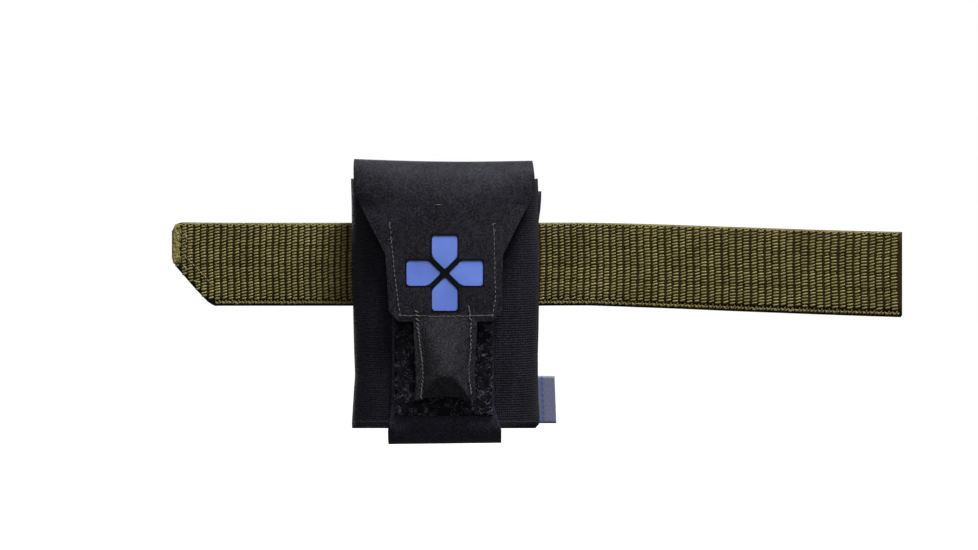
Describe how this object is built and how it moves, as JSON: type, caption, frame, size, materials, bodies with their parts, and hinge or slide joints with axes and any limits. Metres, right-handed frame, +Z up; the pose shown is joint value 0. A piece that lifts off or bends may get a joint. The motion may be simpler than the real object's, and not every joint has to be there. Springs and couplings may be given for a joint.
{
  "type": "belt-mounted trauma kit pouch",
  "caption": "Black elastic sleeve on an olive webbing belt, with a pull-out first-aid insert under a flap with a cross window, a pull tab and a hook-and-loop closing strap.",
  "frame": {"origin": "middle of the belt tunnel's wearer-side face, at the belt's mid-height", "axes": "+Z up as worn, +Y towards the wearer, +X along the belt to the right as seen from the front"},
  "size_m": [0.3878, 0.0547, 0.1509],
  "materials": {
    "webbing": "coarse ribbed nylon webbing, olive",
    "liner": "brushed loop lining, black",
    "laminate": "laminated nylon, fine plain weave, low sheen",
    "elastic": "ribbed woven elastic, black",
    "loop": "fuzzy loop pile",
    "hook": "moulded hook tape",
    "blue_backing": "smooth coated blue fabric",
    "ribbon": "woven satin ribbon, grey-blue",
    "foil": "vacuum-packed foil",
    "wrapper": "sealed tan wrapper",
    "glove_film": "clear film over folded blue gloves",
    "stretch_band": "rolled rubber stretch band",
    "foam": "closed-cell foam"
  },
  "bodies": {
    "carrier": {"back_panel": "laminate", "elastic_sleeve": "elastic", "belt_tunnel": "laminate", "label_tag": "ribbon", "strap_base": "laminate"},
    "belt": {"belt_webbing": "webbing", "belt_liner": "liner"},
    "strap": {"strap_tongue": "laminate", "loop_field": "loop"},
    "insert": {"insert_board": "laminate", "lower_band": "elastic", "upper_band": "elastic", "chest_seal_packet": "foil", "haemostatic_gauze": "foil", "pressure_bandage": "wrapper", "glove_packet": "glove_film", "tourniquet_roll": "stretch_band"},
    "flap": {"flap_shell": "laminate", "cross_backing": "blue_backing", "flap_lining": "laminate", "flap_hook_panel": "hook"},
    "pull_tab": {"pull_tab_skin": "laminate", "pull_tab_core": "foam"}
  },
  "joints": [
    {"name": "belt_slide", "type": "slide", "parent": "carrier", "child": "belt", "axis": [1, 0, 0], "range_m": [0, 0.085]},
    {"name": "insert_slide", "type": "slide", "parent": "carrier", "child": "insert", "axis": [0, 0, 1], "range_m": [0, 0.13]},
    {"name": "flap_hinge", "type": "hinge", "parent": "insert", "child": "flap", "pos_m": [0, -0.0452, 0.04425], "axis": [-1, 0, 0], "range_deg": [0, 165]},
    {"name": "tab_hinge", "type": "hinge", "parent": "flap", "child": "pull_tab", "pos_m": [0, -0.0452, -0.03095], "axis": [-1, 0, 0], "range_deg": [0, 100]},
    {"name": "strap_hinge", "type": "hinge", "parent": "carrier", "child": "strap", "pos_m": [0, -0.039, -0.0875], "axis": [1, 0, 0], "range_deg": [0, 85]}
  ],
  "couplings": [
    {"joint": "strap_hinge", "follows": "flap_hinge", "ratio": 0.5}
  ]
}
